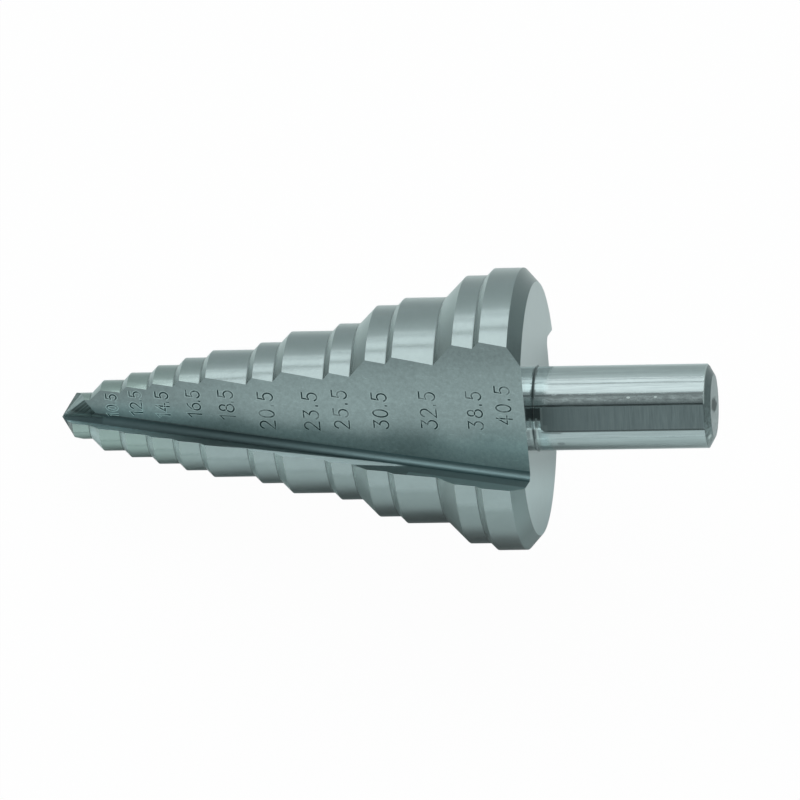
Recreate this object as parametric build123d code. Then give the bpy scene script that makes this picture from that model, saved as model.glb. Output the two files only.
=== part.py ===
from build123d import *
from build123d.topology import SkipClean
from itertools import combinations
import math
import os

# A step drill for sheet metal, turned and ground from one bar of high speed steel.
# It is drawn along its own axis first: X runs from the point to the shank, and Z looks
# out of the flute that ends up on top. The finished drill is then laid on a table,
# on the edges of its other flute, with X still running from the point to the shank.

# Steps: the diameters drilled, and the length of each straight land
point_diameter = 7.0
step_diameters = [10.5, 12.5, 14.5, 16.5, 18.5, 20.5, 23.5, 25.5, 30.5, 32.5, 38.5]
last_diameter = 40.5
point_land = 2.4
short_land = 3.0
long_land = 6.0
last_land = 4.0
long_land_diameters = [18.5, 23.5, 32.5]
riser_angle = 45.0

# Chamfer behind the last step: its height, and its angle to the axis
back_chamfer = 2.0
back_chamfer_angle = 48.0

# Relief behind each cutting edge: how far each land's centre lies off the axis, and
# where around the axis its edge still has the full radius
relief_shift = 0.22
edge_turn = 35.0

# Point: its full angle, then a facet that backs off the heel, then the thinned web
point_angle = 118.0
heel_facet_angle = 41.0
heel_facet_turn = 38.0
thinning_start = 0.3
thinning_angle = 14.6
thinning_lean = 29.3

# Worn outer corner of one lip: how deep, and its angle to the axis
worn_corner_depth = 0.28
worn_corner_angle = 15.0

# Flutes: straight V grooves that climb away from the axis towards the shank
web_at_point = 0.26
flute_climb = 10.7
flute_turn = 49.2
heel_wall_lean = 27.0
rake_wall_lean = 11.7
valley_radius = 1.0

# Shank
shank_diameter = 12.0
shank_length = 25.2
shank_root_radius = 0.2
end_bevel_length = 0.85
end_bevel_depth = 1.5

# Clamping flats on the shank
flat_count = 3
flat_depth = 0.32
flat_setback = 1.05
flat_corner_radius = 0.8
flat_turn = 15.6

# How nearly level the corners that carry the resting drill are, and the least area of
# the triangle that they make
rest_tolerance = 0.001
least_footing = 1.0

part_name = "step_drill"


def sin_of(angle):
    return math.sin(math.radians(angle))


def cos_of(angle):
    return math.cos(math.radians(angle))


def tan_of(angle):
    return math.tan(math.radians(angle))


def land_length(diameter):
    return long_land if diameter in long_land_diameters else short_land


def stepped_outline():
    """Half section of the stepped body, as distances from the point and radii."""
    lands = [(point_diameter, point_land)]
    lands += [(diameter, land_length(diameter)) for diameter in step_diameters]
    lands += [(last_diameter, last_land)]
    along = point_diameter / 2 / tan_of(point_angle / 2)
    points = [(0, 0), (along, point_diameter / 2)]
    for number, (diameter, length) in enumerate(lands):
        if number > 0:
            rise = diameter / 2 - points[-1][1]
            along += rise / tan_of(riser_angle)
            points.append((along, diameter / 2))
        along += length
        points.append((along, diameter / 2))
    along += back_chamfer / tan_of(back_chamfer_angle)
    points.append((along, last_diameter / 2 - back_chamfer))
    return points


outline = stepped_outline()
point_corner = outline[1][0]
point_land_end = outline[2][0]
last_step_start = outline[-3][0]
back_face = outline[-1][0]
total_length = back_face + shank_length
relief_inset = relief_shift * cos_of(edge_turn)
reach = last_diameter + total_length


def opposite(shape):
    """The same shape on the other side of the axis."""
    return Rot(180, 0, 0) * shape


def half_space(origin, normal):
    """A block that fills the side of a plane that its normal points to."""
    block = Box(reach, reach, reach, align=(Align.CENTER, Align.CENTER, Align.MIN))
    return Plane(origin=origin, z_dir=normal) * block


def land():
    """One land: a half turn of the outline, its centre a little off the axis for relief."""
    section = [(0, 0)]
    section += [(along, radius - relief_inset) for along, radius in outline[1:]]
    section.append((back_face, 0))
    face = Plane.XZ * make_face(Polyline(*section, close=True))
    return Pos(0, 0, -relief_shift) * revolve(face, Axis.X, -180)


def flute():
    """The upper V groove, with the numbered wall on one side and the rake wall on the other."""
    heel_way = Vector(0, cos_of(heel_wall_lean), sin_of(heel_wall_lean))
    rake_way = Vector(0, -sin_of(rake_wall_lean), cos_of(rake_wall_lean))
    out_way = Vector(0, -sin_of(flute_turn), cos_of(flute_turn))
    valley_way = Vector(cos_of(flute_climb), 0, 0) + out_way * sin_of(flute_climb)
    valley = out_way * web_at_point - valley_way * last_diameter
    heel_end = valley + heel_way * reach
    rake_end = valley + rake_way * reach
    profile = make_face(Polyline(valley, heel_end, rake_end, close=True))
    groove = extrude(profile, 2 * reach, dir=valley_way)
    long_edges = groove.edges().filter_by(lambda edge: abs((edge % 0.5).dot(valley_way)) > 0.999)
    return fillet(long_edges.sort_by_distance(valley)[0], valley_radius)


def heel_facet():
    """Ground facet that backs off the heel of the upper lip."""
    normal = Vector(
        -sin_of(heel_facet_angle),
        cos_of(heel_facet_angle) * sin_of(heel_facet_turn),
        cos_of(heel_facet_angle) * cos_of(heel_facet_turn),
    )
    return half_space((0, 0, 0), normal) & half_space((0, 0, 0), (0, 1, 0))


def web_thinning():
    """Ground facet that thins the web at the point, inside the upper flute."""
    normal = Vector(-tan_of(thinning_angle), -tan_of(thinning_lean), 1)
    above_rake_wall = Vector(0, cos_of(rake_wall_lean), sin_of(rake_wall_lean))
    return half_space((thinning_start, 0, 0), normal) & half_space((0, 0, 0), above_rake_wall)


def worn_corner():
    """The rubbed outer corner of the lower lip."""
    normal = Vector(-sin_of(worn_corner_angle), -cos_of(worn_corner_angle), 0)
    corner = Vector(point_corner, relief_inset - point_diameter / 2, 0)
    wear = half_space(corner - normal * worn_corner_depth, normal)
    return wear & half_space((point_land_end, 0, 0), (-1, 0, 0))


def stepped_body():
    """Both lands with the flutes, the facets of the point and the worn corner cut in."""
    body = land() + opposite(land())
    for cutter in (flute(), heel_facet(), web_thinning()):
        body = body - cutter - opposite(cutter)
    return body - worn_corner()


def shank_root():
    """The round stretch between the steps and the flats, with its fillet."""
    radius = shank_diameter / 2
    root_radius = radius + shank_root_radius
    root_end = back_face + shank_root_radius
    flat_start = back_face + flat_setback
    outer = Polyline((root_end, radius), (flat_start, radius), (flat_start, 0), (last_step_start, 0))
    inner = Polyline((last_step_start, 0), (last_step_start, root_radius), (back_face, root_radius))
    root_arc = RadiusArc((back_face, root_radius), (root_end, radius), -shank_root_radius)
    return revolve(Plane.XZ * make_face(outer + inner + root_arc), Axis.X)


def flat_cutter():
    """A block that grinds one flat, with the round corners of its inner end."""
    radius = shank_diameter / 2
    chord = 2 * math.sqrt(radius**2 - (radius - flat_depth) ** 2)
    block = Box(2 * shank_length, chord, radius, align=(Align.MIN, Align.CENTER, Align.MIN))
    block = Pos(back_face + flat_setback, 0, radius - flat_depth) * block
    return fillet(block.edges().filter_by(Axis.Z).group_by(Axis.X)[0], flat_corner_radius)


def clamped_shank():
    """The stretch that a three-jaw chuck holds: round, with flats and a bevelled end."""
    radius = shank_diameter / 2
    flat_start = back_face + flat_setback
    flat_way = (0, -sin_of(flat_turn), cos_of(flat_turn))
    flat_end = Plane(origin=(flat_start, 0, 0), x_dir=flat_way, z_dir=(1, 0, 0))
    bar = flat_end * extrude(Circle(radius), total_length - flat_start)
    end_face = bar.faces().sort_by(Axis.X)[-1]
    bar = chamfer(end_face.edges(), end_bevel_depth, end_bevel_length, reference=end_face)
    for number in range(flat_count):
        turn = flat_turn + number * 360 / flat_count
        bar = bar - Rot(turn, 0, 0) * flat_cutter()
    return bar


def covers(feet, centre, up):
    """True if the centre stands over the triangle that three feet make."""
    sides = []
    for number in range(3):
        side = feet[(number + 1) % 3] - feet[number]
        sides.append(side.cross(centre - feet[number]).dot(up))
    return min(sides) > 0 or max(sides) < 0


def table_under(shape):
    """The table top that carries the shape, with the lower flute towards it."""
    centre = shape.center(CenterOf.MASS)
    corners = [Vector(*corner) for corner in shape.vertices() if corner.Z < 0]
    for feet in combinations(corners, 3):
        up = (feet[1] - feet[0]).cross(feet[2] - feet[0])
        if up.length < least_footing:
            continue
        up = up.normalized() if up.Z > 0 else -up.normalized()
        clear = all((corner - feet[0]).dot(up) > -rest_tolerance for corner in corners)
        if clear and covers(feet, centre, up):
            along = Vector(1, 0, 0) - up * up.X
            return Plane(origin=feet[0], x_dir=along, z_dir=up)
    raise ValueError("no three corners carry the drill")


def laid_down(shape):
    """The shape at rest, with the origin on the table under its middle."""
    lying = table_under(shape).location.inverse() * shape
    box = lying.bounding_box()
    return Pos(-box.center().X, -box.center().Y, -box.min.Z) * lying


stepped_end = stepped_body() + shank_root()
# The round stretch of the shank and the stretch with flats keep faces of their own
with SkipClean():
    drill = stepped_end + clamped_shank()

os.makedirs("parts", exist_ok=True)
export_step(laid_down(drill), "parts/" + part_name + ".step")
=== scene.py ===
import math
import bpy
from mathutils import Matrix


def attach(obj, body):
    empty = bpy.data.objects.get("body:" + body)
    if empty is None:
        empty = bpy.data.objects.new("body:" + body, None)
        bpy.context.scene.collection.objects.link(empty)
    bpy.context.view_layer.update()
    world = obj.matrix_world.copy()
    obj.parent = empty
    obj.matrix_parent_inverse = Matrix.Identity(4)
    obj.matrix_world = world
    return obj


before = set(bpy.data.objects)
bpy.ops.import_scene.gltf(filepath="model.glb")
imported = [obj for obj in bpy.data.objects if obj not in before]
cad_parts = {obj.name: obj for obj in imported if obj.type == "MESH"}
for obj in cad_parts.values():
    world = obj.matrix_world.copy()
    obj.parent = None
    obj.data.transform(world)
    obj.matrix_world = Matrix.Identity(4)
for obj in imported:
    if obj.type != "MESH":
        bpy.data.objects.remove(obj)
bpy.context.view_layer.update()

from types import SimpleNamespace

import bmesh
import bpy
from mathutils import Vector

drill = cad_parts["step_drill"]

# how the drill lies on the table, in mm and degrees
mm = 0.001
point_tip = Vector((-46.53074, 0.0, 3.52709))
nose_down = 12.18505907
rolled = -1.35834661

# the camera, looking down on the drill, in mm, and how near and how far it sees, in metres
camera_place = Vector((-62.1144, 31.52, 1294.28))
camera_aim = Vector((1.8656, 1.33, 5.90))
camera_twist_up = Vector((0.021228, 0.999525, -0.022361))
camera_lens = 405.0
camera_film = 36.0
camera_sees_from = 0.01
camera_sees_to = 50.0

# steel as it looks in plain studio light; the tone of each surface is partly painted light and shade, raised
# or lowered to how bright that surface shows, as on the risers, the back face, the point and the bevels
land_steel = (0.222, 0.270, 0.270)
small_step_steel = (0.214, 0.284, 0.262)
riser_steel = (0.270, 0.332, 0.328)
point_steel = (0.150, 0.192, 0.188)
rake_steel = (0.240, 0.312, 0.316)
valley_steel = (0.200, 0.300, 0.312)
wall_steel = (0.235, 0.290, 0.290)
faced_steel = (0.298, 0.372, 0.376)
chamfer_steel = (0.190, 0.238, 0.238)
shank_steel = (0.256, 0.304, 0.306)
flat_steel = (0.240, 0.292, 0.298)
shank_bevel_steel = (0.130, 0.165, 0.166)
# pale tone for painted highlights on the shank's edges and for rubbed bare metal
bare_and_highlit_steel = (0.520, 0.600, 0.590)
# dark tone for painted shade at the root, along the flat and in the corners, and for dirt
shade_and_grime_dark = (0.018, 0.026, 0.027)
etched_dark = (0.030, 0.048, 0.050)
etched_edge = (0.300, 0.370, 0.365)

# where along the drill each kind of surface starts or ends, in mm from the point
heel_end = 3.8
point_end = 6.2
thinned_end = 7.0
back_face_at = 69.054
root_ring_end = 69.27
flats_start = 70.104
shank_bevel_at = 93.404

# how far a mask reaches past an edge or stays off it, and a little more than nothing on the axis, in mm
past_an_edge = 0.02
past_the_bevel = 0.01
past_the_back = 0.3
before_the_flats = 0.5
off_axis = 0.01

# how high above the axis the upper side of the shank starts, and the strip beside its top flat, in mm
upper_above = 3.5
by_flat_above = 4.0

# where each land runs into the slope of the next step, in mm from the point
land_ends = [4.50, 9.25, 13.25, 17.25, 21.25, 28.25, 32.25, 39.75, 43.75, 49.25, 56.25, 62.25]

# the top flat on the shank: which way it runs across, half its width, and how far it lies from the axis
flat_way = (0.963, 0.269)
flat_half_wide = 1.93
flat_radius = 5.94

# the facings of the walls and of the two point facets, as shares along, across and above the drill
wall_guess = (-0.1963, -0.5095, 1.0)
rake_facing = (0.973, 0.201)
heel_facet = (-0.656, 0.465, 0.595)
thinned_facet = (-0.222, -0.477, 0.850)

# how truly a surface faces its own way; lean is the share of its facing that points along the drill
wall_true = 0.9985
wall_least_across = 0.9
wall_face_true = 0.9995
rake_true = 0.975
rake_lean = (0.08, 0.15)
heel_true = 0.997
thinned_true = 0.9992
riser_lean = (-0.9, -0.45)
riser_outward = 0.6
land_lean = 0.02
land_outward = 0.97
chamfer_lean = (0.4, 0.9)
back_lean = 0.99
flat_lean = 0.3
end_face_lean = 0.97

# the line where the two walls of a flute would meet, and the round between them, in mm and degrees
valley_rise = 0.26
valley_climb = 10.7
valley_turn = 49.2
valley_reach = 1.45

# Painted light and shade: stretches of tone that make the steel lighter or darker by the side it faces,
# near creases and by what it mirrors. Each says where a change starts and ends, and the share of light it
# adds at both ends, or just 0 and 1. Places are mm from the point, across, above or around the axis. Side
# runs from -1 at the near side of the drill, low in the photograph, to 1 at its far side.
small_steps_along = (26.0, 8.0, 0.0, 0.8)
riser_near_side = (-0.1, -0.9, 0.0, 1.6)
riser_near_along = (25.0, 62.0, 1.0, 0.4)
riser_far_side = (0.45, 0.95, -0.28, 0.36)
riser_top_side = (0.45, 0.2, 0.0, 0.28)
riser_under_side = (-0.87, -0.95)
riser_under_along = (24.0, 56.0, 1.5, -0.8)
land_near_side = (-0.66, -0.76)
land_near_along = (8.0, 60.0, 0.45, 0.22)
land_under_side = (-0.84, -0.93)
land_under_along = (18.0, 60.0, 0.15, -0.50)
land_crest_side = (0.93, 0.99, 0.0, 0.2)
valley_along = (60.0, 24.0, -0.40, -0.66)
valley_nose_along = (22.0, 8.0, 0.0, 0.35)
rake_nose_along = (24.0, 8.0, 0.0, 1.9)
wall_edge_across = (0.5, 9.0, 0.0, -0.20)
wall_nose_along = (34.0, 4.0, 0.0, -0.29)
wall_foot_along = (50.0, 61.0, 0.0, 0.36)
wall_foot_across = (-3.0, -6.0)
wall_crest_across = (4.5, 8.0, 0.0, -0.13)
nose_foot_off_valley = (3.6, 1.5, 0.0, -0.38)
nose_foot_along = (28.0, 14.0)
back_near_across = (-6.5, -12.5, 0.0, 1.25)
back_dark_across = (-2.4, -2.9, 0.0, -0.60)
back_dark_end_across = (-6.6, -5.6)
back_bright_across = (1.9, 2.6, 0.0, 0.25)
back_bright_end_across = (4.4, 3.2)
back_middle = 0.8
back_off_middle = (1.2, 0.6, 0.0, 0.70)
back_mirror_radius = (13.5, 12.0)
chamfer_across = (8.0, -8.0, -0.12, 0.60)
chamfer_under_side = (-0.92, -0.99, 0.0, 0.6)
shank_near_side = (-0.67, -0.76, 0.0, 0.55)
shank_low_side = (-0.83, -0.90, 0.0, 0.28)
shank_under_side = (-0.92, -0.975, 0.0, -0.50)
shank_far_side = (0.68, 0.74, 0.0, 0.2)
shank_crest_side = (0.94, 0.98, 0.0, 0.7)
root_along = (71.6, 70.4)
root_far_across = (2.0, 2.8, 0.0, 0.55)
root_far_end_across = (4.2, 3.2, 0.3, 1.0)
root_top = 0.9
root_off_top = (0.7, 0.35, 0.0, 0.9)
root_near = -2.3
root_off_near = (0.85, 0.5, 0.0, 2.3)
root_near_end = 70.08
bevel_near_across = (2.0, -5.0, 0.0, 0.45)

# a painted highlight wedge on the steep wall, where a grinding facet catches light, and a painted pale strip
# along its edge, where a honed edge catches light; slopes in mm for each mm
scraped_start_along = (23.0, 30.0)
scraped_end_along = (51.5, 49.5)
scraped_foot_above = (7.0, 7.7)
scraped_top_above = (10.5, 10.0)
scraped_top_from = 45.0
scraped_top_slope = 0.31
scraped_tone = 0.45
scraped_dull = 0.5
strip_start = 52.0
strip_from = 56.7
strip_slope = 0.13
strip_above = (11.7, 12.3, 0.0, 0.80)

# fine marks: how fast each changes along and across the drill, for each mm, then its detail and roughness
turning_marks = (3.2, 0.10, 3.0, 0.6)
grinding_marks = (0.25, 3.0, 3.0, 0.62)
milling_marks = (3.6, 0.20, 3.0, 0.7)
drawn_marks = (0.14, 3.4, 3.0, 0.7)
grain_marks = (6.0, 6.0, 3.0, 0.65)
cloud_marks = (0.35, 0.35, 2.0, 0.5)
fleck_marks = (1.7, 1.7, 4.0, 0.7)
scratch_marks = (0.5, 1.6, 4.0, 0.75)
ragged_marks = (0.8, 2.2, 4.0, 0.75)
wavy_marks = (2.0, 2.6, 3.0, 0.7)

# the rings on the back face run by the radius; the strokes on the point by the places along, across, off
# the ridge and above
ring_rate = 3.0
ring_marks = (2.0, 0.5)
stroke_rates = (0.5, -0.8, 9.0, 0.3)
stroke_marks = (3.0, 0.6)

# how strongly the marks show in the tone
plain_tone = 0.92
cloud_tone = 0.10
grain_tone = 0.06
flat_scour_along = (72.0, 88.0, 0.35, 1.0)
end_fleck_across = (0.0, -3.5, 0.8, 3.0)
wall_fleck_tone = 0.60
wall_scratch = (0.57, 0.74, 0.0, 0.25)
step_fleck_tone = 0.16
drawn_tone = 0.5
flute_grain_tone = 0.22
point_stroke_tone = 1.8
# painted light and shade on the thinned facet, lighter near the valley and darker away from it; then the half
# width of a painted highlight along the ridge of the point
thinned_facet_light = (1.4, 0.3, -0.58, 2.02)
ridge_highlight_half_wide = 0.09

# how rough the ground steel is, and what each kind of surface adds to it
ground_rough = 0.172
added_rough = {
    "flute": 0.22, "riser": 0.07, "flat": 0.32, "shank_end": 0.16, "back": -0.092, "stem": -0.042,
    "back_chamfer": 0.06, "point": 0.12, "root_ring": 0.25, "scraped": 0.30, "thinned": 0.22,
}
grain_rough = 0.06
shade_and_dirt_rough = 0.3
valley_rough_along = (52.0, 26.0, 0.0, 0.20)
valley_nose_rough_along = (26.0, 8.0, 0.0, 0.12)

# how high each kind of mark stands in the bump of the steel, and the bump's strength and depth in metres
ring_relief = 0.4
milled_relief = 1.6
drawn_relief = 0.8
line_relief = 0.6
grain_relief = 0.12
shank_end_relief = 0.9
flute_relief = 0.2
steel_bump = (0.35, 0.00002)
cut_bump = (0.3, 0.00001)

# painted shade at the root of the shank, in mm: a dark patch above the start of the flat, and two dark rings
# along the crease beside it; a ring says where it ends along the drill, how much that end waves, and how dark
# it is
root_shade_dark = 0.70
root_shade_along = (69.0, 70.06)
root_shade_radius = 6.7
root_shade_middle = 0.78
root_shade_half_wide = 0.95
root_shade_wave = 0.9
root_shade_ragged = 0.10
far_ring = (69.34, 1.1, 0.50)
near_ring = (69.36, 0.3, 0.18)
far_ring_from = 0.4
near_ring_from = -2.0

# dark spots on the shank and the pit in its end: the middle, the reach each way, and how dark
shank_dark_spots = [
    ((71.8, -3.45, 4.9), (1.7, 0.26, 0.5), 0.40),
    ((72.7, -5.05, 3.2), (0.6, 0.25, 0.5), 0.35),
]
end_pit = ((94.25, 0.1, 0.6), (0.5, 1.2, 3.2), 0.75)
pit_fleck = (1.6, -0.3)

# how ragged the edge of a spot is, and where it fades in, as shares of its reach
spot_ragged = 1.2
spot_fade = (1.1, 0.7)

# painted shade and dark reflection along the flat: dark lines along its edges, by the distance across it in
# mm, and a mottled dark band with a row of dark specks beside it
upper_line_half_wide = 0.10
upper_line_wander = 0.10
upper_line_ragged = 0.25
upper_line_dark = 0.80
lower_line_half_wide = 0.11
lower_line_dark = 0.45
dark_specks_at = 3.28
dark_specks_half_wide = 0.13
dark_specks_gap = 0.46
dark_specks_dark = 0.5
dark_band_edge = (3.42, 3.18)
dark_band_ragged = 0.5
dark_band_grain = 0.5
dark_band_patches = (0.55, 0.95, 0.02, 0.38)

# painted shade with some dirt: the dark line in the corner at the end of each land
corner_reach = (0.16, 0.04)
corner_side = (0.2, -0.5, 0.26, 0.42)
first_corner_after = 3.0

# painted highlights on the shank's edges at its bevel, its root ring and the end of its flat, and painted
# light on the shoulder by the root: bands as where they start and end along the drill, and how bright; then
# rubbed bare metal in spots
bevel_edge_highlight = (93.374, 93.514, 0.7)
root_ring_highlight = (69.34, 69.66, 0.6)
flat_end_highlight = (70.09, 70.35, 0.30)
root_shoulder_light = (69.8, 71.0, 0.22)
bevel_edge_highlight_from = 0.3
root_ring_highlight_to = -1.4
flat_end_highlight_half_wide = 1.75
root_shoulder_light_at = -1.4
root_shoulder_light_half_wide = 0.5
rubbed_specks = [(82.7, 1.35, 5.84), (86.6, 1.35, 5.84)]
speck_reach = (0.30, 0.17, 0.3)
speck_bright = 0.7
rubbed_burr = (93.85, -4.4, 2.8)
burr_reach = (0.4, 0.5, 0.5)

# each figure is drawn as the strokes of an engraver's cutter, one unit high
stroke_steps = 14
round_steps = 28


def arc(x, y, half_wide, half_high, start, end, steps=stroke_steps):
    """A run of points on an oval, from one angle to the other in degrees."""
    points = []
    for step in range(steps + 1):
        turn = math.radians(start + (end - start) * step / steps)
        points.append((x + half_wide * math.cos(turn), y + half_high * math.sin(turn)))
    return points


cutter_strokes = {
    "0": [arc(0.30, 0.50, 0.25, 0.50, 90, 450, round_steps)],
    "1": [[(0.14, 0.78), (0.36, 1.0), (0.36, 0.0)]],
    "2": [arc(0.29, 0.72, 0.25, 0.28, 165, -38) + [(0.03, 0.0), (0.58, 0.0)]],
    "3": [[(0.05, 1.0), (0.52, 1.0), (0.26, 0.60)] + arc(0.26, 0.30, 0.28, 0.30, 80, -150)],
    "4": [[(0.40, 0.0), (0.40, 1.0)], [(0.40, 1.0), (0.02, 0.32), (0.60, 0.32)]],
    "5": [[(0.52, 1.0), (0.13, 1.0), (0.09, 0.58)] + arc(0.27, 0.32, 0.27, 0.32, 125, -150)],
    "6": [arc(0.30, 0.30, 0.26, 0.30, 90, 450, 24), arc(0.62, 0.30, 0.58, 0.70, 180, 108)],
    "8": [arc(0.30, 0.76, 0.20, 0.24, -90, 270, 22), arc(0.30, 0.26, 0.27, 0.26, 90, 450, 24)],
    ".": [[(0.10, 0.03), (0.10, 0.09)]],
}

# text, its middle along the drill, its far end across the drill, its figure height and its length, in mm
size_labels = [
    ("10.5", 7.76, 3.00, 1.55, 3.75),
    ("12.5", 11.40, 3.35, 1.70, 3.95),
    ("14.5", 15.40, 3.22, 1.90, 4.30),
    ("16.5", 20.10, 3.35, 2.00, 4.45),
    ("18.5", 25.00, 3.30, 2.20, 4.90),
    ("20.5", 30.90, 2.90, 2.25, 5.85),
    ("23.5", 37.50, 2.80, 2.25, 6.00),
    ("25.5", 41.95, 3.00, 2.20, 6.10),
    ("30.5", 47.80, 2.55, 2.20, 5.60),
    ("32.5", 54.90, 2.60, 2.35, 5.80),
    ("38.5", 61.75, 2.50, 2.20, 5.90),
    ("40.5", 66.00, 3.20, 2.20, 6.00),
]

# the run of each figure and of the dot, and the width of the last figure, as shares of its height
figure_run = 0.78
dot_run = 0.42
figure_wide = 0.58

# the cutter's groove: half its width in mm, and its section from edge to edge, as shares of that half
# width and heights above the wall in mm
cut_half_width = 0.22
cut_section = [(-1.0, 0.001), (-0.72, 0.014), (-0.55, 0.004), (0.55, 0.004), (0.72, 0.014), (1.0, 0.001)]
cut_floor_strip = 2
cut_overrun = 0.6
sharpest_turn = 0.6
same_spot = 1e-6

# the finish of a cut: its tone, its roughness and how far it is worn back to the tone of the wall
cut_finishes = [
    ("cut_floor", etched_dark, 0.45, 0.75),
    ("cut_lip", etched_edge, 0.30, 0.5),
]
cut_grain_marks = (6.0, 6.0, 3.0, 0.6)
cut_patch_marks = (0.55, 0.55, 3.0, 0.6)
cut_worn_patches = (0.46, 0.66)
cut_grain_tone = (-0.25, 0.5)
cut_grain_rough = 0.1

# panels that only the steel mirrors: bearing and height in degrees, width, height, brightness and tint
white_light = (1.0, 1.0, 1.0)
cool_light = (0.94, 1.0, 1.0)
panel_distance = 1.0
mirrored_panels = [
    ("high_window", 112, 32.4, 1.7, 0.458, 1.96, white_light),
    ("low_window", 105, 11.4, 1.5, 0.188, 2.00, white_light),
    ("horizon_window", 105, 2.5, 1.5, 0.09, 1.55, white_light),
    ("window_frame", 112, 47.3, 1.4, 0.077, 0.90, white_light),
    ("far_fill", 247, 20, 2.1, 0.72, 0.98, cool_light),
    ("ceiling_strip", 125, 59.5, 1.2, 0.20, 0.85, white_light),
]

# the lamp that only dull surfaces see: bearing, height, distance, width, height, brightness and tint
table_lamp = (92, 34, 4.0, 8.0, 1.65, 7.2, white_light)

# the studio air low and high, as dull surfaces see it, and as the camera sees it
air_low = (0.37, 0.42, 0.42)
air_high = (0.26, 0.30, 0.30)
air_high_from = 0.8
air_on_dull = (0.08, 0.095, 0.095)
pure_white = (1.0, 1.0, 1.0)

# the table, in metres, and how much of plain white the camera and a mirror see in place of its lit top
table_half_wide = 6.0
table_tone = (0.80, 0.88, 0.875, 1.0)
table_rough = 0.30
table_gloss = 1.45
table_white_seen = 0.98
table_white_mirrored = 0.05


def drill_axes():
    """The ways along the drill, across it and above it, as it lies."""
    tilt = math.radians(nose_down)
    roll = math.radians(rolled)
    along = Vector((math.cos(tilt), 0.0, math.sin(tilt)))
    level = Vector((0.0, 1.0, 0.0))
    raised = Vector((-math.sin(tilt), 0.0, math.cos(tilt)))
    across = level * math.cos(roll) + raised * math.sin(roll)
    upward = raised * math.cos(roll) - level * math.sin(roll)
    return along, across, upward


drill_ways = drill_axes()
along_drill, across_drill, above_drill = drill_ways


def numbered_wall():
    """The facing of the numbered wall and a place on it in mm, from the drill's own faces."""
    guess = along_drill * wall_guess[0] + across_drill * wall_guess[1] + above_drill * wall_guess[2]
    guess.normalize()
    area = 0.0
    facing = Vector((0.0, 0.0, 0.0))
    place = Vector((0.0, 0.0, 0.0))
    for face in drill.data.polygons:
        if face.normal.dot(guess) > wall_face_true:
            area += face.area
            facing += face.normal * face.area
            place += face.center * face.area
    return facing.normalized(), place / area / mm


wall_facing, wall_place = numbered_wall()


def set_up_camera():
    view = bpy.data.cameras.new("camera")
    view.lens = camera_lens
    view.sensor_width = camera_film
    view.clip_start = camera_sees_from
    view.clip_end = camera_sees_to
    camera = bpy.data.objects.new("camera", view)
    bpy.context.scene.collection.objects.link(camera)
    back = (camera_place - camera_aim).normalized()
    right = camera_twist_up.cross(back).normalized()
    up = back.cross(right)
    for row in range(3):
        camera.matrix_world[row][0] = right[row]
        camera.matrix_world[row][1] = up[row]
        camera.matrix_world[row][2] = back[row]
        camera.matrix_world[row][3] = camera_place[row] * mm
    bpy.context.scene.camera = camera


class Signal:
    """A value on its way through a finish; sums written on it become Math nodes."""

    def __init__(self, board, socket):
        self.board = board
        self.socket = socket

    def __add__(self, other):
        return self.board.sum_of("ADD", self, other)

    def __radd__(self, other):
        return self.board.sum_of("ADD", other, self)

    def __sub__(self, other):
        return self.board.sum_of("SUBTRACT", self, other)

    def __rsub__(self, other):
        return self.board.sum_of("SUBTRACT", other, self)

    def __mul__(self, other):
        return self.board.sum_of("MULTIPLY", self, other)

    def __rmul__(self, other):
        return self.board.sum_of("MULTIPLY", other, self)

    def __truediv__(self, other):
        return self.board.sum_of("DIVIDE", self, other)

    def __rtruediv__(self, other):
        return self.board.sum_of("DIVIDE", other, self)

    def __pow__(self, other):
        return self.board.sum_of("POWER", self, other)

    def __gt__(self, other):
        return self.board.sum_of("GREATER_THAN", self, other)

    def __lt__(self, other):
        return self.board.sum_of("LESS_THAN", self, other)

    def __abs__(self):
        return self.board.sum_of("ABSOLUTE", self)

    def __or__(self, other):
        return self.board.sum_of("MAXIMUM", self, other)

    def __and__(self, other):
        return self.board.sum_of("MINIMUM", self, other)


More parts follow.
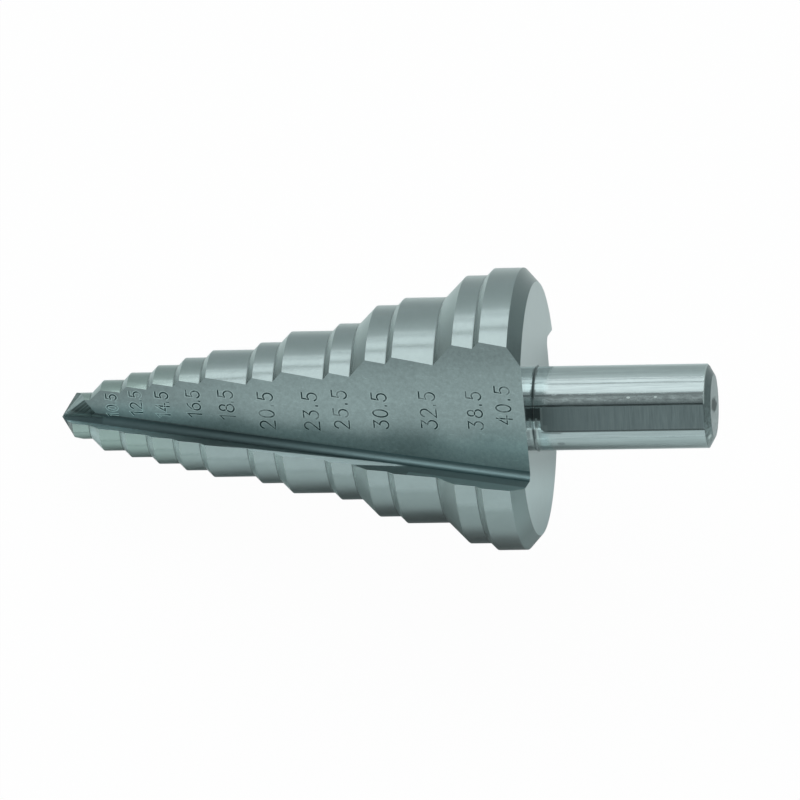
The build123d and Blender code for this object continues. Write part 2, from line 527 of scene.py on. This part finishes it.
class Board:
    """The node tree of one finish, of the studio air or of the table."""

    def __init__(self, tree):
        self.tree = tree
        tree.nodes.clear()

    def node(self, kind, settings=None, sockets=None, output=0):
        made = self.tree.nodes.new(kind)
        for name, value in (settings or {}).items():
            setattr(made, name, value)
        for name, value in (sockets or {}).items():
            if isinstance(value, Signal):
                self.tree.links.new(value.socket, made.inputs[name])
            else:
                made.inputs[name].default_value = value
        return Signal(self, made.outputs[output]) if made.outputs else None

    def sum_of(self, operation, *values):
        return self.node("ShaderNodeMath", {"operation": operation}, dict(enumerate(values)))

    def dot(self, vector, direction):
        settings = {"operation": "DOT_PRODUCT"}
        return self.node("ShaderNodeVectorMath", settings, {0: vector, 1: tuple(direction)}, "Value")

    def vector(self, x, y, z):
        return self.node("ShaderNodeCombineXYZ", None, {"X": x, "Y": y, "Z": z})

    def noise(self, place, detail, rough):
        sockets = {"Vector": place, "Scale": 1.0, "Detail": detail, "Roughness": rough}
        return self.node("ShaderNodeTexNoise", None, sockets, "Fac")

    def marks(self, spot, along_rate, across_rate, detail, rough):
        """Marks that change at one rate along the drill and at another around it."""
        place = self.vector(spot[0] * along_rate, spot[1] * across_rate, spot[2] * across_rate)
        return self.noise(place, detail, rough)

    def ramp(self, value, low, high, start=0.0, end=1.0):
        settings = {"interpolation_type": "SMOOTHSTEP"}
        sockets = {"Value": value, "From Min": low, "From Max": high, "To Min": start, "To Max": end}
        return self.node("ShaderNodeMapRange", settings, sockets)

    def blend(self, share, first, second):
        settings = {"data_type": "RGBA", "blend_type": "MIX"}
        sockets = {0: share}
        for place, tone in ((6, first), (7, second)):
            sockets[place] = tone if isinstance(tone, Signal) else (*tone, 1.0)
        return self.node("ShaderNodeMix", settings, sockets, 2)

    def shaded(self, tone, added):
        factor = 1.0 + added
        grey = self.node("ShaderNodeCombineColor", None, {"Red": factor, "Green": factor, "Blue": factor})
        settings = {"data_type": "RGBA", "blend_type": "MULTIPLY"}
        return self.node("ShaderNodeMix", settings, {0: 1.0, 6: tone, 7: grey}, 2)

    def bump(self, strength, distance, height):
        sockets = {"Strength": strength, "Distance": distance, "Height": height}
        return self.node("ShaderNodeBump", None, sockets, "Normal")

    def metal(self, tone, metallic, rough, normal):
        """Steel of this tone, on its way out of the finish."""
        sockets = {"Base Color": tone, "Metallic": metallic, "Roughness": rough, "Normal": normal}
        shader = self.node("ShaderNodeBsdfPrincipled", None, sockets)
        self.node("ShaderNodeOutputMaterial", None, {"Surface": shader})

    def light_path(self, output):
        return self.node("ShaderNodeLightPath", None, None, output)


def new_finish(name):
    material = bpy.data.materials.new(name)
    material.use_nodes = True
    return material, Board(material.node_tree)


def between(value, limits):
    """1 where a value is between two limits."""
    return (value > limits[0]) & (value < limits[1])


def near(value, middle, reach):
    """1 where a value is within reach of the middle."""
    return abs(value - middle) < reach


def near_valley(along, across, above):
    """How far a place is from the bottom line of the nearer flute, in mm."""
    turn = math.radians(valley_turn)
    climb = math.radians(valley_climb)
    outward = abs(above * math.cos(turn) - across * math.sin(turn)) - valley_rise
    sideways = across * math.cos(turn) + above * math.sin(turn)
    off_line = outward * math.cos(climb) - along * math.sin(climb)
    return (sideways * sideways + off_line * off_line) ** 0.5


def drill_spot(board):
    """A place on the drill in mm: along it, across it and above its axis."""
    place = board.node("ShaderNodeTexCoord", None, None, "Object")
    return [board.dot(place, way / mm) - point_tip.dot(way) for way in drill_ways]


def steel_places(board):
    """Where a spot of the steel is, which way it faces, and how it lies by the axis, a flute and the flat."""
    at = SimpleNamespace()
    at.spot = drill_spot(board)
    at.along, at.across, at.above = at.spot
    facing = board.node("ShaderNodeNewGeometry", None, None, "True Normal")
    at.face_along, at.face_across, at.face_above = [board.dot(facing, way) for way in drill_ways]
    at.radius = (at.across * at.across + at.above * at.above) ** 0.5
    past_axis = at.radius + off_axis
    at.side = at.across / past_axis
    at.outward = (at.face_across * at.across + at.face_above * at.above) / past_axis
    at.off_valley = near_valley(*at.spot)
    at.off_ridge = board.dot(board.vector(*at.spot), heel_facet)
    at.across_flat = at.across * flat_way[0] + at.above * flat_way[1]
    return at


# where the painted highlight wedge lies on the steep wall
def scraped_wedge(board, at):
    top = at.above + (at.along - scraped_top_from) * scraped_top_slope
    ends = board.ramp(at.along, *scraped_start_along) * board.ramp(at.along, *scraped_end_along)
    return board.ramp(at.above, *scraped_foot_above) * board.ramp(top, *scraped_top_above) * ends


def surfaces(board, at):
    """One mask for each kind of surface on the drill, 1 where it is."""
    on = SimpleNamespace()
    wall = [wall_facing.dot(way) for way in drill_ways]
    facing = board.vector(at.face_along, at.face_across, at.face_above)
    on.body = at.along < back_face_at - past_an_edge
    toward_wall = abs(at.face_across * wall[1] + at.face_above * wall[2])
    wall_match = toward_wall + abs(at.face_along * wall[0])
    on.wall = (wall_match > wall_true) & (toward_wall > wall_least_across) & on.body
    toward_rake = abs(at.face_across * rake_facing[0] + at.face_above * rake_facing[1])
    on.rake = (toward_rake > rake_true) & between(at.face_along, rake_lean) & on.body
    on.heel = (board.dot(facing, heel_facet) > heel_true) & (at.along < heel_end)
    on.thinned = (board.dot(facing, thinned_facet) > thinned_true) & (at.along < thinned_end)
    in_round = at.off_valley < valley_reach
    on.valley = in_round & on.body & (1.0 - on.thinned) & (1.0 - on.heel)
    on.flute = on.wall | on.rake | on.valley
    on.riser = between(at.face_along, riser_lean) & on.body & (at.outward > riser_outward)
    on.land = (abs(at.face_along) < land_lean) & (at.outward > land_outward) & on.body
    on.point = (at.along < point_end) & (1.0 - (on.land | on.wall | on.rake | on.riser))
    on.back = (at.face_along > back_lean) & (at.along < back_face_at + past_the_back)
    on.back_chamfer = between(at.face_along, chamfer_lean) & (at.along < back_face_at + past_an_edge)
    on.stem = at.along > back_face_at + past_an_edge
    on.top_half = on.stem & (at.above > 0.0)
    on.upper = on.stem & (at.above > upper_above)
    on.root_ring = on.stem & (at.along < root_ring_end)
    on.shank = on.stem & (at.along < shank_bevel_at)
    on.by_flat = on.shank & (at.above > by_flat_above)
    on.flat = on.stem & (at.radius < flat_radius) & (abs(at.face_along) < flat_lean)
    on.flat = on.flat & (at.along > flats_start - before_the_flats)
    on.shank_end = on.stem & (at.along > shank_bevel_at + past_the_bevel)
    on.end_face = on.shank_end & (at.face_along > end_face_lean)
    on.scraped = on.rake & scraped_wedge(board, at)
    return on


def fine_marks(board, at):
    """The marks that turning, grinding and use leave on the steel."""
    left = SimpleNamespace()
    left.turning = board.marks(at.spot, *turning_marks)
    left.grinding = board.marks(at.spot, *grinding_marks)
    left.milling = board.marks(at.spot, *milling_marks)
    left.drawn = board.marks(at.spot, *drawn_marks)
    left.grain = board.marks(at.spot, *grain_marks)
    left.cloud = board.marks(at.spot, *cloud_marks)
    left.fleck = board.marks(at.spot, *fleck_marks)
    left.scratch = board.marks(at.spot, *scratch_marks)
    left.ragged = board.marks(at.spot, *ragged_marks)
    left.wavy = board.marks(at.spot, *wavy_marks)
    left.rings = board.noise(board.vector(at.radius * ring_rate, 0.0, 0.0), *ring_marks)
    slanted = at.along * stroke_rates[0] + at.across * stroke_rates[1]
    strokes_place = board.vector(slanted, at.off_ridge * stroke_rates[2], at.above * stroke_rates[3])
    left.strokes = board.noise(strokes_place, *stroke_marks)
    return left


def step_tone(board, at, on):
    """Lands and risers, paler on the near side of the small steps, with painted light and shade: each is
    lighter or darker by the side it faces.
    """
    # painted light: the small steps get a paler, greener tone
    small = board.ramp(at.along, *small_steps_along) * (1.0 - on.riser)
    tone = board.blend(small, land_steel, small_step_steel)
    tone = board.blend(on.riser, tone, riser_steel)
    # painted light and shade on risers and lands by the side they face and how far along they lie
    riser = board.ramp(at.side, *riser_near_side) * board.ramp(at.along, *riser_near_along)
    riser = riser + board.ramp(at.side, *riser_under_side) * board.ramp(at.along, *riser_under_along)
    riser = riser + board.ramp(at.side, *riser_far_side) + board.ramp(at.side, *riser_top_side)
    tone = board.shaded(tone, on.riser * riser)
    land = board.ramp(at.side, *land_near_side) * board.ramp(at.along, *land_near_along)
    land = land + board.ramp(at.side, *land_under_side) * board.ramp(at.along, *land_under_along)
    tone = board.shaded(tone, on.land * (land + board.ramp(at.side, *land_crest_side)))
    return board.blend(on.point, tone, point_steel)


def flute_tone(board, at, on, tone):
    """The steep wall with its painted highlight wedge and pale strip, the round at the bottom and the
    numbered wall, with painted light and shade on each.
    """
    tone = board.blend(on.rake, tone, rake_steel)
    tone = board.blend(on.valley, tone, valley_steel)
    # painted shade in the valley round, lifted again near the point, and painted light on the steep wall near
    # the point
    tone = board.shaded(tone, on.valley * board.ramp(at.along, *valley_along))
    tone = board.shaded(tone, on.valley * board.ramp(at.along, *valley_nose_along))
    tone = board.shaded(tone, on.rake * board.ramp(at.along, *rake_nose_along))
    # painted highlights: the wedge on the steep wall and the pale strip along its edge
    strip = board.ramp(at.above - (at.along - strip_from) * strip_slope, *strip_above)
    tone = board.shaded(tone, on.scraped * scraped_tone + on.rake * strip * (at.along > strip_start))
    tone = board.blend(on.wall, tone, wall_steel)
    # painted light and shade on the numbered wall: darker toward its edges and near the point, lighter by its
    # foot far along, darker at its crest and by the valley near the point
    wall = board.ramp(abs(at.across), *wall_edge_across) + board.ramp(at.along, *wall_nose_along)
    wall = wall + board.ramp(at.along, *wall_foot_along) * board.ramp(at.across, *wall_foot_across)
    tone = board.shaded(tone, on.wall * wall)
    tone = board.shaded(tone, on.wall * board.ramp(at.across, *wall_crest_across))
    nose_foot = board.ramp(at.off_valley, *nose_foot_off_valley) * board.ramp(at.along, *nose_foot_along)
    return board.shaded(tone, on.wall * nose_foot)


def back_tone(board, at, on, tone):
    """The back face, which mirrors the shank beside it, and the chamfer around it, with painted reflection
    bands on the back face and painted light and shade on both by side.
    """
    tone = board.blend(on.back, tone, faced_steel)
    # painted reflection on the back face: dark and bright bands where it mirrors the shank, and a lighter
    # near side
    dark = board.ramp(at.across, *back_dark_across) * board.ramp(at.across, *back_dark_end_across)
    bright = board.ramp(at.across, *back_bright_across) * board.ramp(at.across, *back_bright_end_across)
    middle = board.ramp(abs(at.across - back_middle), *back_off_middle)
    mirrored = (dark + bright + middle) * board.ramp(at.radius, *back_mirror_radius)
    tone = board.shaded(tone, on.back * (mirrored + board.ramp(at.across, *back_near_across)))
    tone = board.blend(on.back_chamfer, tone, chamfer_steel)
    # painted light and shade on the chamfer by the side it faces
    chamfer = board.ramp(at.across, *chamfer_across) + board.ramp(at.side, *chamfer_under_side)
    return board.shaded(tone, on.back_chamfer * chamfer)


def shank_tone(board, at, on, tone):
    """The shank, its flats, its bevel and its end, with painted light bands around the shank, painted light
    at its root and a lighter near side on its bevel.
    """
    tone = board.blend(on.stem, tone, shank_steel)
    # painted light and shade: bands around the shank by the side it faces, and lighter steel at the root
    # against the shade the body casts there
    around = board.ramp(at.side, *shank_near_side) + board.ramp(at.side, *shank_low_side)
    around = around + board.ramp(at.side, *shank_under_side) + board.ramp(at.side, *shank_far_side)
    around = around + board.ramp(at.side, *shank_crest_side)
    far = board.ramp(at.across, *root_far_across) * board.ramp(at.across, *root_far_end_across)
    top = board.ramp(abs(at.across - root_top), *root_off_top)
    near_side = board.ramp(abs(at.across - root_near), *root_off_near) * (at.along < root_near_end)
    root = (far + top) * board.ramp(at.along, *root_along) + near_side
    tone = board.shaded(tone, on.shank * (around + root))
    tone = board.blend(on.flat, tone, flat_steel)
    tone = board.blend(on.shank_end, tone, shank_bevel_steel)
    # painted light on the near side of the bevel
    tone = board.shaded(tone, on.shank_end * board.ramp(at.across, *bevel_near_across))
    return board.blend(on.end_face, tone, flat_steel)


def marked_tone(board, at, on, left, tone):
    """The tone with the marks of making and use in it, painted light and shade on the thinned facet, and a
    painted highlight along the ridge of the point.
    """
    fleck = left.fleck - 0.5
    marked = on.flat * (left.milling - 0.5) * board.ramp(at.along, *flat_scour_along)
    marked = marked + on.shank_end * fleck * board.ramp(at.across, *end_fleck_across)
    marked = marked + on.wall * (fleck * wall_fleck_tone + board.ramp(left.scratch, *wall_scratch))
    marked = marked + (on.land | on.riser) * fleck * step_fleck_tone
    marked = marked + on.stem * (1.0 - on.flat) * (left.drawn - 0.5) * drawn_tone
    marked = marked + on.flute * (left.grain - 0.5) * flute_grain_tone
    marked = marked + (on.heel | on.thinned) * (left.strokes - 0.5) * point_stroke_tone
    # painted light and shade on the thinned facet by its distance from the valley
    marked = marked + on.thinned * board.ramp(at.off_valley, *thinned_facet_light)
    even = left.cloud * cloud_tone + left.grain * grain_tone + (plain_tone - 1.0)
    tone = board.shaded(tone, even + marked)
    # painted highlight along the ridge of the point
    return board.blend(on.thinned & (abs(at.off_ridge) < ridge_highlight_half_wide), tone, faced_steel)


def blot(board, at, middle, reach, ragged):
    """A worn or dirty spot: 1 in its middle, with a ragged edge."""
    parts = [(here - there) / wide for here, there, wide in zip(at.spot, middle, reach)]
    far = (parts[0] * parts[0] + parts[1] * parts[1] + parts[2] * parts[2]) ** 0.5
    return board.ramp(far + (ragged - 0.5) * spot_ragged, *spot_fade)


def root_shade_and_spots(board, at, on, left):
    """Painted shade at the root of the shank, dark spots beside it and the pit in the shank's end."""
    wavy = left.wavy - 0.5
    start, end = root_shade_along
    # painted shade: a dark patch above the start of the flat, where the root lies in shade
    root_shade = (at.along > start) & (at.along < end + left.ragged * root_shade_ragged)
    root_shade = root_shade & (at.radius < root_shade_radius) & (at.above > by_flat_above)
    root_shade = root_shade & near(at.across_flat, root_shade_middle, root_shade_half_wide + wavy * root_shade_wave)
    shade_and_dirt = root_shade * root_shade_dark
    # painted shade: dark rings along the crease between the back face and the shank
    end, waves, dark = far_ring
    shade_and_dirt = shade_and_dirt | (on.top_half & (at.along + wavy * waves < end) & (at.across > far_ring_from)) * dark
    end, waves, dark = near_ring
    shade_and_dirt = shade_and_dirt | (on.top_half & (at.along + wavy * waves < end) & (at.across < near_ring_from)) * dark
    for middle, reach, dark in shank_dark_spots:
        shade_and_dirt = shade_and_dirt | blot(board, at, middle, reach, left.fleck) * on.stem * dark
    middle, reach, dark = end_pit
    pitted = left.fleck * pit_fleck[0] + pit_fleck[1]
    return shade_and_dirt | blot(board, at, middle, reach, pitted) * on.end_face * dark


def flat_painted_shade(board, at, on, left):
    """Painted shade and dark reflection along the top flat: dark lines along both its edges, a row of dark
    specks and a mottled dark band beside it.
    """
    ragged = left.ragged - 0.5
    # painted shade: dark lines along both edges of the flat
    half_wide = upper_line_half_wide + ragged * upper_line_ragged
    upper = near(at.across_flat + ragged * upper_line_wander, flat_half_wide, half_wide)
    lower = near(at.across_flat, -flat_half_wide, lower_line_half_wide)
    lower = lower & on.shank & on.upper & (at.along > flats_start)
    dark_specks = near(at.across_flat, dark_specks_at, dark_specks_half_wide) & (left.ragged > dark_specks_gap)
    # painted dark reflection: a mottled dark band on the shank beside the flat
    worn = on.by_flat * board.ramp(at.across_flat + ragged * dark_band_ragged, *dark_band_edge)
    worn = worn * (at.across_flat > flat_half_wide)
    shade_and_dirt = (upper & on.by_flat) * upper_line_dark | lower * lower_line_dark
    shade_and_dirt = shade_and_dirt | (dark_specks & on.by_flat) * dark_specks_dark
    return shade_and_dirt | worn * board.ramp(left.ragged + left.grain * dark_band_grain, *dark_band_patches)


def corner_shade_and_dirt(board, at, on):
    """Painted shade with some dirt: a thin dark line in the corner where each land runs into the next slope.
    """
    off_corner = abs(at.along - land_ends[0])
    for land_end in land_ends[1:]:
        off_corner = off_corner & abs(at.along - land_end)
    line = board.ramp(off_corner, *corner_reach) * board.ramp(at.side, *corner_side)
    return line * on.body * (1.0 - on.flute) * (at.along > first_corner_after)


def rubbed_and_highlit_metal(board, at, on, left):
    """Painted highlights on the edges of the shank and painted light on its root shoulder, with bright bare
    metal in rubbed spots.
    """
    start, end, bright = bevel_edge_highlight
    highlit_and_bare = (on.stem & between(at.along, (start, end)) & (at.across > bevel_edge_highlight_from)) * bright
    start, end, bright = root_ring_highlight
    highlit_and_bare = highlit_and_bare | (on.top_half & between(at.along, (start, end)) & (at.across < root_ring_highlight_to)) * bright
    start, end, bright = flat_end_highlight
    flat_end = on.upper & between(at.along, (start, end))
    highlit_and_bare = highlit_and_bare | (flat_end & (abs(at.across_flat) < flat_end_highlight_half_wide)) * bright
    start, end, bright = root_shoulder_light
    shoulder = on.upper & between(at.along, (start, end))
    shoulder = shoulder & near(at.across_flat, root_shoulder_light_at, root_shoulder_light_half_wide)
    highlit_and_bare = highlit_and_bare | shoulder * bright
    for speck in rubbed_specks:
        highlit_and_bare = highlit_and_bare | blot(board, at, speck, speck_reach, left.wavy) * speck_bright
    return highlit_and_bare | blot(board, at, rubbed_burr, burr_reach, left.ragged) * on.stem


def steel_roughness(board, at, on, left, shade_and_dirt):
    rough = ground_rough + (left.grain - 0.5) * grain_rough + shade_and_dirt * shade_and_dirt_rough
    for surface, added in added_rough.items():
        rough = rough + vars(on)[surface] * added
    valley = board.ramp(at.along, *valley_rough_along) + board.ramp(at.along, *valley_nose_rough_along)
    return rough + on.valley * valley


def steel_relief(board, on, left):
    """The fine lines of each tool, as a bump."""
    turned = left.turning * (1.0 - on.flute) * (1.0 - on.back) * (1.0 - on.flat)
    lines = turned + left.grinding * on.flute + left.rings * on.back * ring_relief
    lines = lines + left.milling * on.flat * milled_relief
    lines = lines + left.drawn * on.stem * (1.0 - on.flat) * drawn_relief
    pitted = left.grain * (grain_relief + on.shank_end * shank_end_relief + on.flute * flute_relief)
    return board.bump(*steel_bump, lines * line_relief + pitted)


def ground_steel():
    material, board = new_finish("ground_steel")
    at = steel_places(board)
    on = surfaces(board, at)
    left = fine_marks(board, at)
    tone = step_tone(board, at, on)
    tone = flute_tone(board, at, on, tone)
    tone = back_tone(board, at, on, tone)
    tone = shank_tone(board, at, on, tone)
    tone = marked_tone(board, at, on, left, tone)
    # painted shade at the root, along the flat and in the corners, with some dirt, blended toward the dark
    # tone
    shade_and_dirt = root_shade_and_spots(board, at, on, left) | flat_painted_shade(board, at, on, left) | corner_shade_and_dirt(board, at, on)
    tone = board.blend(shade_and_dirt, tone, shade_and_grime_dark)
    tone = board.blend(rubbed_and_highlit_metal(board, at, on, left), tone, bare_and_highlit_steel)
    rough = steel_roughness(board, at, on, left, shade_and_dirt)
    # the painted highlight wedge is also made half as metallic, so that it shows pale
    board.metal(tone, 1.0 - on.scraped * scraped_dull, rough, steel_relief(board, on, left))
    return material


def cut_metal(name, tone, roughness, wear):
    """The steel of a cut figure, worn back to the tone of the wall in patches."""
    material, board = new_finish(name)
    spot = drill_spot(board)
    grain = board.marks(spot, *cut_grain_marks)
    worn = board.ramp(board.marks(spot, *cut_patch_marks), *cut_worn_patches, 0.0, wear)
    grained = grain * cut_grain_tone[1] + cut_grain_tone[0]
    shade = board.shaded(board.blend(worn, tone, wall_steel), grained)
    board.metal(shade, 1.0, roughness + grain * cut_grain_rough, board.bump(*cut_bump, grain))
    return material


def spread_figures(text, height, length):
    """Where each figure of a label starts along its line, for a given overall length."""
    runs = [dot_run if figure == "." else figure_run for figure in text]
    scale = (length - figure_wide * height) / sum(runs[:-1])
    return [scale * sum(runs[:count]) for count in range(len(runs))]


def stroke_ways(points, index, closed):
    """Which way a stroke comes to one of its points and which way it leaves, where it does."""
    ways = []
    if index > 0 or closed:
        before = points[index - 1] if index > 0 else points[-2]
        ways.append((points[index] - before).normalized())
    if index < len(points) - 1 or closed:
        after = points[index + 1] if index < len(points) - 1 else points[1]
        ways.append((after - points[index]).normalized())
    return ways


def groove(form, stroke, to_wall):
    """One cutter stroke: a shallow groove between two raised lips, on the wall."""
    points = [Vector(point) for point in stroke]
    closed = (points[0] - points[-1]).length < same_spot
    rows = []
    for index, here in enumerate(points):
        ways = stroke_ways(points, index, closed)
        way = sum(ways, Vector((0.0, 0.0))).normalized()
        side = Vector((-way.y, way.x)) / max(ways[0].dot(way), sharpest_turn)
        if not closed and index == 0:
            here = here - way * cut_half_width * cut_overrun
        if not closed and index == len(points) - 1:
            here = here + way * cut_half_width * cut_overrun
        row = []
        for share, height in cut_section:
            row.append(form.verts.new(to_wall(here + side * cut_half_width * share, height)))
        rows.append(row)
    for first, second in zip(rows, rows[1:]):
        for strip in range(len(cut_section) - 1):
            face = form.faces.new((first[strip], second[strip], second[strip + 1], first[strip + 1]))
            face.material_index = 0 if strip == cut_floor_strip else 1
            face.smooth = True


def label_to_wall(middle, far_end, height, length):
    """How a spot of a label, flat in mm, goes to its place on the numbered wall."""
    line_way = wall_facing.cross(along_drill).normalized()
    figure_up = wall_facing.cross(line_way).normalized()
    on_axis = point_tip + along_drill * middle + across_drill * far_end
    rise = (wall_place - on_axis).dot(wall_facing) / above_drill.dot(wall_facing)
    start = on_axis + above_drill * rise - line_way * length - figure_up * (height / 2)

    def to_wall(flat, lift):
        return (start + line_way * flat.x + figure_up * flat.y + wall_facing * lift) * mm

    return to_wall


def cut_numbers():
    """The plain step diameters, cut into the numbered wall beside each land."""
    form = bmesh.new()
    for text, middle, far_end, height, length in size_labels:
        to_wall = label_to_wall(middle, far_end, height, length)
        for figure, offset in zip(text, spread_figures(text, height, length)):
            for stroke in cutter_strokes[figure]:
                groove(form, [(offset + x * height, y * height) for x, y in stroke], to_wall)
    form.normal_update()
    for face in form.faces:
        if face.normal.dot(wall_facing) < 0:
            face.normal_flip()
    mesh = bpy.data.meshes.new("step_numbers")
    form.to_mesh(mesh)
    form.free()
    numbers = bpy.data.objects.new("step_numbers", mesh)
    bpy.context.scene.collection.objects.link(numbers)
    for finish in cut_finishes:
        mesh.materials.append(cut_metal(*finish))
    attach(numbers, "root")


def studio_air():
    """Dim air that the steel mirrors, paler low down; the camera sees it as plain white."""
    world = bpy.data.worlds.new("studio_air")
    bpy.context.scene.world = world
    world.use_nodes = True
    board = Board(world.node_tree)
    way = board.node("ShaderNodeTexCoord", None, None, "Generated")
    high = board.dot(way, (0.0, 0.0, 1.0))
    tone = board.blend(board.ramp(high, 0.0, air_high_from), air_low, air_high)
    tone = board.blend(board.light_path("Is Diffuse Ray"), tone, air_on_dull)
    seen = board.light_path("Is Camera Ray") | board.light_path("Is Transmission Ray")
    tone = board.blend(seen, tone, pure_white)
    air = board.node("ShaderNodeBackground", None, {"Color": tone, "Strength": 1.0})
    board.node("ShaderNodeOutputWorld", None, {"Surface": air})


def softbox(name, bearing, height_angle, distance, wide, high, brightness, tint):
    """A soft panel that the steel mirrors; brightness 1 shows as white in a mirror."""
    panel = bpy.data.lights.new(name, "AREA")
    panel.shape = "RECTANGLE"
    panel.size = wide
    panel.size_y = high
    panel.color = tint
    panel.energy = brightness * math.pi * wide * high
    lamp = bpy.data.objects.new(name, panel)
    bpy.context.scene.collection.objects.link(lamp)
    turn = math.radians(bearing)
    lift = math.radians(height_angle)
    way = Vector((math.cos(turn) * math.cos(lift), math.sin(turn) * math.cos(lift), math.sin(lift)))
    lamp.location = way * distance
    lamp.rotation_euler = way.to_track_quat("Z", "Y").to_euler()
    lamp.visible_camera = False
    return lamp


def studio_lamps():
    for name, bearing, height_angle, wide, high, brightness, tint in mirrored_panels:
        panel = softbox(name, bearing, height_angle, panel_distance, wide, high, brightness, tint)
        panel.visible_diffuse = False
    table_light = softbox("table_light", *table_lamp)
    table_light.visible_glossy = False


def table():
    """A wide pale table under the drill, with a little sheen."""
    mesh = bpy.data.meshes.new("table")
    half = table_half_wide
    corners = [(-half, -half, 0), (half, -half, 0), (half, half, 0), (-half, half, 0)]
    mesh.from_pydata(corners, [], [(0, 1, 2, 3)])
    floor = bpy.data.objects.new("table", mesh)
    bpy.context.scene.collection.objects.link(floor)
    material, board = new_finish("white_table")
    sockets = {"Base Color": table_tone, "Roughness": table_rough, "IOR": table_gloss}
    top = board.node("ShaderNodeBsdfPrincipled", None, sockets)
    white = board.node("ShaderNodeEmission", None, {"Color": (*pure_white, 1.0), "Strength": 1.0})
    seen = board.light_path("Is Camera Ray") | board.light_path("Is Transmission Ray")
    share = seen * table_white_seen | board.light_path("Is Glossy Ray") * table_white_mirrored
    both = board.node("ShaderNodeMixShader", None, {0: share, 1: top, 2: white})
    board.node("ShaderNodeOutputMaterial", None, {"Surface": both})
    mesh.materials.append(material)


set_up_camera()
steel = ground_steel()
for slot in drill.material_slots:
    slot.material = steel
cut_numbers()
table()
studio_air()
studio_lamps()
bpy.context.scene.view_settings.view_transform = "Standard"
